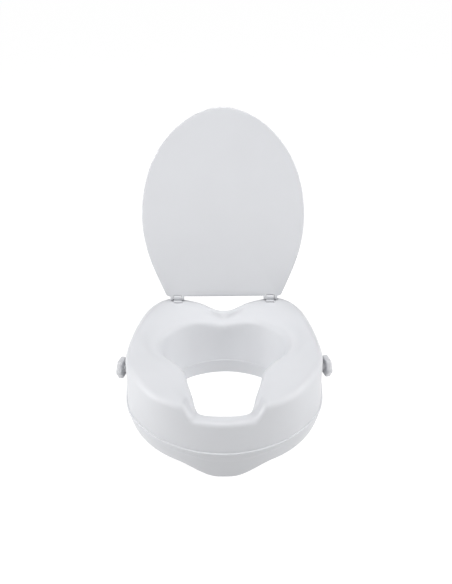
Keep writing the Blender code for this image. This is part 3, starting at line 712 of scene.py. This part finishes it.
def add_prism(work, outline, low, high, placement):
    """A prism along the placement's X axis from a closed outline in its Y and Z."""
    rings = [[placement @ Vector((x, y, z)) for y, z in outline] for x in (low, high)]
    add_loft(work, rings, caps=True)


def arc(radius, start, end, count, centre=(0, 0)):
    return [(centre[0] + radius * math.cos(t), centre[1] + radius * math.sin(t))
            for t in np.radians(np.linspace(start, end, count))]


def make_lid_ears(material):
    """Four round ears on roots that run into the lid, bored for the pins."""
    root = ((-15, 2.0), (-16, 1.4), (-16, -3.4), (-15, -4.0), (-5, -4.3))
    outline = arc(HINGE_RADIUS, -100, 150, 40) + [(y * MM, z * MM) for y, z in root]
    work = bmesh.new()
    bores = bmesh.new()
    half = BLOCK_WIDTH / 2 + EAR_GAP
    for side, _ in SIDES:
        for near, far in ((-half, -half - INNER_EAR), (half, half + OUTER_EAR)):
            low, high = sorted((side * (HINGE_X + near), side * (HINGE_X + far)))
            add_prism(work, outline, low, high, lid_frame())
            add_rod(bores, PIN_RADIUS + BORE_PLAY, low - 1 * MM, high + 1 * MM, lid_frame())
    ears = finish_mesh(work, "lid_ears", material)
    soften(ears, 0.6 * MM, segments=3, angle=50)
    cut(ears, "DIFFERENCE", bores, "ear_bores")
    ears.data.shade_smooth()
    ears.data.set_sharp_from_angle(angle=math.radians(40))
    return ears


def make_lid(materials):
    for piece in (make_lid_plate(materials["lid"]), make_lid_ears(materials["lid"])):
        settle(piece, "lid", "white_plastic", "lid")


# Hinges

def make_hinge_block(side, name, materials):
    """Foot in the seat's pocket with a barrel on top, bored for the pin and the screw."""
    half = BLOCK_WIDTH / 2
    low, high = side * HINGE_X - half, side * HINGE_X + half
    floor = HINGE_FLOOR_Z + GAP - HINGE_Z
    outline = ([(-10 * MM, floor), (8 * MM, floor), (8 * MM, -5.8 * MM), (7.2 * MM, -5 * MM)]
               + arc(HINGE_RADIUS, -50, 230, 48) + [(-9.2 * MM, -5 * MM), (-10 * MM, -5.8 * MM)])
    work = bmesh.new()
    axis = Matrix.Translation((0, HINGE_Y, HINGE_Z))
    add_prism(work, outline, low, high, axis)
    block = finish_mesh(work, "block_" + name, materials["lid"])
    soften(block, 0.5 * MM, segments=3, angle=35)
    holes = bmesh.new()
    add_rod(holes, PIN_RADIUS + BORE_PLAY, low - 1 * MM, high + 1 * MM, axis)
    add_rod(holes, HINGE_SCREW_RADIUS + BORE_PLAY, HINGE_FLOOR_Z - 1 * MM, HINGE_Z - 4 * MM,
            upright(side * HINGE_X, HINGE_Y))
    cut(block, "DIFFERENCE", holes, "block_holes")
    block.data.shade_smooth()
    block.data.set_sharp_from_angle(angle=math.radians(40))
    settle(block, "seat", "white_plastic", "hinge_block_" + name)


def make_hinge_pin(side, name, materials):
    """Headless pin with chamfered ends."""
    low, high = sorted((side * (HINGE_X - BLOCK_WIDTH / 2 - EAR_GAP - INNER_EAR + 0.5 * MM),
                        side * (HINGE_X + BLOCK_WIDTH / 2 + EAR_GAP + OUTER_EAR - 0.5 * MM)))
    work = bmesh.new()
    add_turned(work, [(low, 0), (low, 1.9 * MM), (low + 0.5 * MM, PIN_RADIUS), (high - 0.5 * MM, PIN_RADIUS),
                      (high, 1.9 * MM), (high, 0)], Matrix.Translation((0, HINGE_Y, HINGE_Z)))
    pin = finish_mesh(work, "pin_" + name, materials["steel"])
    settle(pin, "lid", "plated_steel", "hinge_pin_" + name)


def make_hinge_screw(side, name, materials):
    """Cross-headed screw from below, and its washer."""
    place = upright(side * HINGE_X, HINGE_Y)
    tip, head = HINGE_Z - 4.5 * MM, PILLAR_BOTTOM_Z - 1.8 * MM
    work = bmesh.new()
    profile = [(head - 3.4 * MM, 0), (head - 3.35 * MM, 1.6 * MM), (head - 3.1 * MM, 2.9 * MM),
               (head - 2.5 * MM, 3.8 * MM), (head - 1.7 * MM, 4.3 * MM), (head - 0.9 * MM, HINGE_SCREW_HEAD),
               (head, HINGE_SCREW_HEAD), (head, HINGE_SCREW_RADIUS)]
    turn = head + 1 * MM
    while turn < tip - 2.2 * MM:
        profile += [(turn + along * MM, radius * MM)
                    for along, radius in ((0, 2.4), (0.35, 1.95), (0.9, 1.95), (1.2, 2.4))]
        turn += 1.4 * MM
    profile += [(tip - 0.8 * MM, 1.9 * MM), (tip, 1.2 * MM), (tip, 0)]
    add_turned(work, profile, place, steps=40)
    screw = finish_mesh(work, "hinge_screw_" + name + "_fine", materials["steel"])
    for across, along in ((2.1 * MM, 0.45 * MM), (0.45 * MM, 2.1 * MM)):
        slot = bmesh.new()
        add_box(slot, (head - 5 * MM, -across, -along), (head - 2 * MM, across, along), place)
        cut(screw, "DIFFERENCE", slot, "slot")
    screw.data.set_sharp_from_angle(angle=math.radians(40))
    settle(screw, "seat", "plated_steel", "hinge_screw_" + name)
    add_washer("hinge_washer_" + name, "seat", HINGE_SCREW_RADIUS + GAP, 6 * MM,
               PILLAR_BOTTOM_Z - 1.5 * MM, PILLAR_BOTTOM_Z - GAP, place, materials["steel"])


def add_washer(node_name, body, bore, edge, low, high, place, material):
    """Flat ring with chamfered rims."""
    work = bmesh.new()
    soft = 0.2 * MM
    profile = [(low, bore + soft), (low, edge - soft), (low + soft, edge), (high - soft, edge),
               (high, edge - soft), (high, bore + soft), (high - soft, bore), (low + soft, bore)]
    add_turned(work, profile, place, steps=64)
    settle(finish_mesh(work, node_name + "_fine", material), body, "plated_steel", node_name)


# Clamps

def lobed_ring(x, scale, placement, samples=180):
    ring = []
    for i in range(samples):
        turn = 2 * math.pi * i / samples
        r = (KNOB_RADIUS - KNOB_LOBE_DEPTH * (1 - math.cos(KNOB_LOBES * turn))) * scale
        ring.append(placement @ Vector((x, r * math.cos(turn), r * math.sin(turn))))
    return ring


def make_knob(side, name, materials):
    """Six-lobed hand wheel with a domed face and a shallow recess round the stem at its back."""
    place = clamp_frame(side)
    face = KNOB_BACK + KNOB_RIM
    back = ((0, 0.84), (0.15, 0.875), (0.7, 0.93), (1.6, 0.972), (2.8, 0.995), (4.5, 1.0))
    front = ((-3.2, 1.0), (-2.1, 0.985), (-1.2, 0.948), (-0.5, 0.90), (-0.05, 0.84), (0.25, 0.76),
             (0.75, 0.64), (1.2, 0.50), (1.5, 0.36), (1.7, 0.24), (1.78, 0.12))
    recess = ((0, 0.735), (0.2, 0.71), (0.8, 0.68), (1, 0.64), (1, 0.4))
    outer = ([(KNOB_BACK + x * MM, scale) for x, scale in back]
             + [(face + x * MM, scale) for x, scale in front])
    work = bmesh.new()
    rows = add_loft(work, [lobed_ring(x, scale, place) for x, scale in outer])
    tip = work.verts.new(place @ Vector((face + 1.8 * MM, 0, 0)))
    count = len(rows[0])
    for i in range(count):
        work.faces.new((tip, rows[-1][i], rows[-1][(i + 1) % count]))
    inner = [[work.verts.new(point) for point in lobed_ring(KNOB_BACK + x * MM, scale, place)]
             for x, scale in recess]
    for one, two in zip([rows[0]] + inner, inner):
        join_rings(work, one, two)
    work.faces.new(inner[-1])
    knob = finish_mesh(work, "knob_" + name, materials["knob"], sharp=50)
    stem = bmesh.new()
    bore = SCREW_RADIUS + BORE_PLAY
    end = KNOB_BACK + 5.6 * MM
    add_turned(stem, [(KNOB_STEM_START, bore), (KNOB_STEM_START, KNOB_STEM_RADIUS - 0.5 * MM),
                      (KNOB_STEM_START + 0.5 * MM, KNOB_STEM_RADIUS), (end, KNOB_STEM_RADIUS),
                      (end, bore)], place, steps=72)
    hub = finish_mesh(stem, "knob_stem_" + name, materials["knob"])
    for piece in (knob, hub):
        settle(piece, "knob_" + name, "knob_plastic", "clamp_knob_" + name)


def add_thread(work, start, end, radius, depth, pitch, placement, steps=32, per_pitch=8):
    """A screw thread's helical surface between two plain rings of verts, which are returned."""
    count = int(round((end - start) / pitch - 1)) * per_pitch
    core = radius - depth
    wave = (0, 0.05, 0.55, 1, 1, 1, 0.55, 0.05)
    rows = []
    for i in range(count + 1):
        fade = min(1, i / per_pitch, (count - i) / per_pitch)
        r = core + depth * wave[i % per_pitch] * max(0, fade)
        row = []
        for j in range(steps):
            turn = 2 * math.pi * j / steps
            x = start + pitch * (i / per_pitch + j / steps)
            row.append(work.verts.new(placement @ Vector((x, r * math.cos(turn), r * math.sin(turn)))))
        rows.append(row)
    for i in range(count):
        for j in range(steps - 1):
            work.faces.new((rows[i][j], rows[i][j + 1], rows[i + 1][j + 1], rows[i + 1][j]))
        if i + 1 + per_pitch <= count:
            work.faces.new((rows[i][-1], rows[i + per_pitch][0], rows[i + per_pitch + 1][0], rows[i + 1][-1]))
    ends = []
    for x in (start - 0.4 * MM, end + 0.4 * MM):
        ends.append([work.verts.new(placement @ Vector((x, core * math.cos(t), core * math.sin(t))))
                     for t in (2 * math.pi * j / steps for j in range(steps))])
    first, last = ends
    for j in range(steps - 1):
        work.faces.new((first[j], first[j + 1], rows[0][j + 1], rows[0][j]))
        work.faces.new((rows[-1][j], rows[-1][j + 1], last[j + 1], last[j]))
    work.faces.new([first[-1], first[0]] + [rows[i][0] for i in range(per_pitch + 1)] + [rows[0][-1]])
    work.faces.new([rows[-1][0], last[0], last[-1]]
                   + [rows[i][-1] for i in range(count, count - per_pitch - 1, -1)])
    return first, last


def make_clamp_screw(side, name, materials):
    """The threaded screw with plain ends, its washer and its split retaining clip."""
    place = clamp_frame(side)
    work = bmesh.new()
    steps = 32
    first, last = add_thread(work, SCREW_INNER_END + 2 * MM, -BOSS_DEPTH - 3 * MM, SCREW_RADIUS, 0.65 * MM,
                             THREAD_PITCH, place, steps)
    inner_end = ((SCREW_INNER_END + 0.8 * MM, 3.35 * MM), (SCREW_INNER_END, 2.6 * MM))
    outer_end = ((-BOSS_DEPTH - 2.2 * MM, SCREW_RADIUS), (SCREW_OUTER_END - 0.6 * MM, SCREW_RADIUS),
                 (SCREW_OUTER_END, 3.4 * MM))
    for row, shape in ((first, inner_end), (last, outer_end)):
        for x, r in shape:
            ring = [work.verts.new(place @ Vector((x, r * math.cos(t), r * math.sin(t))))
                    for t in (2 * math.pi * j / steps for j in range(steps))]
            join_rings(work, row, ring)
            row = ring
        work.faces.new(row)
    screw = finish_mesh(work, "screw_" + name, materials["steel"], sharp=30)
    settle(screw, "knob_" + name, "plated_steel", "clamp_screw_" + name)
    bore = SCREW_RADIUS + BORE_PLAY
    add_washer("knob_washer_" + name, "knob_" + name, bore, CLAMP_RING_RADIUS, GAP, 1.3 * MM, place,
               materials["steel"])
    clip = bmesh.new()
    low, high = -BOSS_DEPTH - 1.5 * MM, -BOSS_DEPTH - GAP
    section = ((low, bore + 0.15 * MM), (low + 0.2 * MM, bore), (high, bore),
               (high, CLAMP_RING_RADIUS - 0.2 * MM), (high - 0.2 * MM, CLAMP_RING_RADIUS),
               (low, CLAMP_RING_RADIUS))
    rings = []
    for turn in np.radians(np.linspace(35, 325, 60)):
        spin = place @ Matrix.Rotation(turn, 4, "X")
        rings.append([spin @ Vector((x, 0, r)) for x, r in section])
    add_loft(clip, rings, caps=True)
    piece = finish_mesh(clip, "clip_" + name, materials["steel"])
    settle(piece, "knob_" + name, "plated_steel", "screw_clip_" + name)


def make_jaw(side, name, materials):
    """Rounded plate with a pocket for its nut and a hole for the screw."""
    place = clamp_frame(side)
    back = JAW_FACE - JAW_THICKNESS
    work = bmesh.new()
    low, high = JAW_BOTTOM_Z - CLAMP_Z, JAW_TOP_Z - CLAMP_Z
    corner = 4 * MM
    outline = []
    for y, z, start in ((1, 1, 0), (-1, 1, 90), (-1, -1, 180), (1, -1, 270)):
        centre = (y * (JAW_HALF_WIDTH - corner), (high if z > 0 else low) - z * corner)
        outline += arc(corner, start, start + 90, 8, centre)
    add_prism(work, outline, back, JAW_FACE, place)
    jaw = finish_mesh(work, "jaw_" + name, materials["rib"])
    soften(jaw, 0.8 * MM, segments=3, angle=50)
    tools = bmesh.new()
    add_rod(tools, NUT_RADIUS + GAP, back - 2 * MM, back + NUT_DEPTH + GAP, place, segments=6)
    cut(jaw, "DIFFERENCE", tools, "nut_pocket")
    tools = bmesh.new()
    add_rod(tools, SCREW_RADIUS + GAP, back - 2 * MM, JAW_FACE + 2 * MM, place)
    cut(jaw, "DIFFERENCE", tools, "jaw_bore")
    jaw.data.shade_smooth()
    jaw.data.set_sharp_from_angle(angle=math.radians(40))
    settle(jaw, "jaw_" + name, "white_plastic", "clamp_jaw_" + name)


def make_jaw_nut(side, name, materials):
    """Hexagon with both faces chamfered round, bored for the screw."""
    place = clamp_frame(side)
    end = JAW_FACE - JAW_THICKNESS + NUT_DEPTH
    start = end - NUT_LENGTH
    work = bmesh.new()
    add_rod(work, NUT_RADIUS, start, end, place, segments=6)
    nut = finish_mesh(work, "nut_" + name, materials["steel"])
    cone = bmesh.new()
    add_turned(cone, [(start, 0), (start, 6.4 * MM), (start + 0.7 * MM, 7.6 * MM), (end - 0.7 * MM, 7.6 * MM),
                      (end, 6.4 * MM), (end, 0)], place, steps=60)
    cut(nut, "INTERSECT", cone, "chamfer")
    bore = bmesh.new()
    add_turned(bore, [(start - 1 * MM, 0), (start - 1 * MM, 5.3 * MM), (start + 0.15 * MM, 4.15 * MM),
                      (end - 0.15 * MM, 4.15 * MM), (end + 1 * MM, 5.3 * MM), (end + 1 * MM, 0)],
               place, steps=60)
    cut(nut, "DIFFERENCE", bore, "nut_bore")
    nut.data.set_sharp_from_angle(angle=math.radians(25))
    settle(nut, "jaw_" + name, "plated_steel", "jaw_nut_" + name)


def make_jaw_pad(side, name, materials):
    """Rubber face with level grooves."""
    start = JAW_FACE + GAP
    face = start + JAW_PAD_THICKNESS
    half = JAW_HALF_WIDTH - JAW_PAD_MARGIN
    low, high = JAW_BOTTOM_Z + 1 * MM - CLAMP_Z, RIM_PLANE_Z - CLAMP_Z
    work = bmesh.new()
    profile = [(start, low), (start, high), (face - 0.4 * MM, high), (face, high - 0.4 * MM)]
    grooves = 5
    pitch = (high - low) / grooves
    for i in range(grooves - 1, 0, -1):
        middle = low + pitch * i
        profile += [(face, middle + 0.7 * MM), (face - 0.8 * MM, middle + 0.35 * MM),
                    (face - 0.8 * MM, middle - 0.35 * MM), (face, middle - 0.7 * MM)]
    profile += [(face, low + 0.4 * MM), (face - 0.4 * MM, low)]
    rings = [[clamp_frame(side) @ Vector((x, y, z)) for x, z in profile] for y in (-half, half)]
    add_loft(work, rings, caps=True)
    pad = finish_mesh(work, "pad_" + name, materials["rubber"], sharp=20)
    settle(pad, "jaw_" + name, "grey_rubber", "jaw_pad_" + name)


def make_rim_pads(materials):
    """Rubber discs with round grooves in the face that rests on the bowl."""
    low, high = RIM_PLANE_Z, RIM_PLANE_Z + PAD_THICKNESS
    grooves = ((0, 2.4), (0.7, 2.8), (0.7, 3.6), (0, 4.0), (0, 6.0), (0.7, 6.4), (0.7, 7.2), (0, 7.6),
               (0, 9.5), (0.15, 9.85))
    profile = ([(low, 0)] + [(low + up * MM, radius * MM) for up, radius in grooves]
               + [(low + 0.5 * MM, PAD_RADIUS), (high, PAD_RADIUS), (high, 0)])
    for where in ("front", "back"):
        for _, name in SIDES:
            place = pad_place(where, name)
            work = bmesh.new()
            add_turned(work, profile, upright(place.x, place.y), steps=72)
            pad = finish_mesh(work, f"rim_pad_{where}_{name}_fine", materials["rubber"], sharp=20)
            settle(pad, "seat", "grey_rubber", f"rim_pad_{where}_{name}")


# Stage, light and camera

def stage_material():
    """Pale, evenly lit from within like a light table, with very slow shade variation."""
    material = bpy.data.materials.new("backdrop")
    material.use_nodes = True
    tree = material.node_tree
    shader = tree.nodes["Principled BSDF"]
    shader.inputs["Roughness"].default_value = 0.9
    shader.inputs["Emission Color"].default_value = (1.0, 1.0, 1.0, 1.0)
    shader.inputs["Emission Strength"].default_value = 0.985
    place = node(tree, "ShaderNodeTexCoord")
    noise = node(tree, "ShaderNodeTexNoise", scale=3.0, detail=2.0)
    shades = node(tree, "ShaderNodeValToRGB")
    shades.color_ramp.elements[0].color = (0.09, 0.09, 0.09, 1.0)
    shades.color_ramp.elements[1].color = (0.10, 0.10, 0.10, 1.0)
    tree.links.new(place.outputs["Object"], noise.inputs["Vector"])
    tree.links.new(noise.outputs["Fac"], shades.inputs["Fac"])
    tree.links.new(shades.outputs["Color"], shader.inputs["Base Color"])
    return material


def make_stage():
    """A large pale floor that the seat stands on."""
    work = bmesh.new()
    bmesh.ops.create_grid(work, x_segments=8, y_segments=8, size=40.0)
    floor = finish_mesh(work, "floor", stage_material())


def area_light(name, place, target, size, power):
    lamp = bpy.data.lights.new(name, "AREA")
    lamp.shape = "RECTANGLE"
    lamp.size, lamp.size_y = size
    lamp.energy = power
    item = bpy.data.objects.new(name, lamp)
    bpy.context.scene.collection.objects.link(item)
    item.location = place
    item.rotation_euler = (Vector(target) - Vector(place)).to_track_quat("-Z", "Y").to_euler()


def make_world():
    """A dim studio, brighter overhead."""
    world = bpy.data.worlds.new("studio")
    world.use_nodes = True
    tree = world.node_tree
    place = node(tree, "ShaderNodeTexCoord")
    split = node(tree, "ShaderNodeSeparateXYZ")
    shades = node(tree, "ShaderNodeValToRGB")
    ramp = shades.color_ramp.elements
    ramp[0].position, ramp[0].color = 0.0, (0.03, 0.03, 0.031, 1.0)
    ramp[1].position, ramp[1].color = 1.0, (0.08, 0.081, 0.083, 1.0)
    tree.links.new(place.outputs["Generated"], split.inputs["Vector"])
    tree.links.new(split.outputs["Z"], shades.inputs["Fac"])
    tree.links.new(shades.outputs["Color"], tree.nodes["Background"].inputs["Color"])
    bpy.context.scene.world = world


def make_lights():
    """Soft boxes, a little stronger from the right; the low ones reach the side walls."""
    make_world()
    area_light("top", (0, -0.5, 2.4), (0, 0, 0.1), (1.6, 1.0), 29)
    area_light("low_front", (0, -1.8, 0.6), (0, 0, 0.15), (1.8, 0.5), 3)
    for side, high, low, back in ((-1, 8, 9.5, 5), (1, 16.5, 4, 7)):
        area_light("high", (side * 1.9, -0.3, 1.6), (0, 0, 0.15), (1.0, 1.0), high)
        area_light("low", (side * 1.3, -0.2, 0.7), (0, 0, 0.15), (0.8, 1.0), low)
        area_light("back", (side * 1.5, 0.5, 1.2), (0, 0, 0.1), (0.8, 0.8), back)


def make_camera():
    camera = bpy.data.cameras.new("camera")
    camera.sensor_fit = "HORIZONTAL"
    camera.sensor_width = 36.0
    camera.lens = CAMERA_LENS
    item = bpy.data.objects.new("camera", camera)
    bpy.context.scene.collection.objects.link(item)
    tilt = (Matrix.Rotation(math.radians(CAMERA_PITCH), 4, "X")
            @ Matrix.Rotation(math.radians(CAMERA_ROLL), 4, "Z"))
    item.matrix_world = Matrix.Translation(CAMERA_PLACE) @ tilt
    bpy.context.scene.camera = item


def main():
    bpy.context.scene.view_settings.view_transform = "Standard"
    make_camera()
    make_lights()
    make_stage()
    materials = make_materials()
    make_seat(materials)
    make_lid(materials)
    for side, name in SIDES:
        make_hinge_block(side, name, materials)
        make_hinge_pin(side, name, materials)
        make_hinge_screw(side, name, materials)
        make_knob(side, name, materials)
        make_clamp_screw(side, name, materials)
        make_jaw(side, name, materials)
        make_jaw_nut(side, name, materials)
        make_jaw_pad(side, name, materials)
    make_rim_pads(materials)


main()
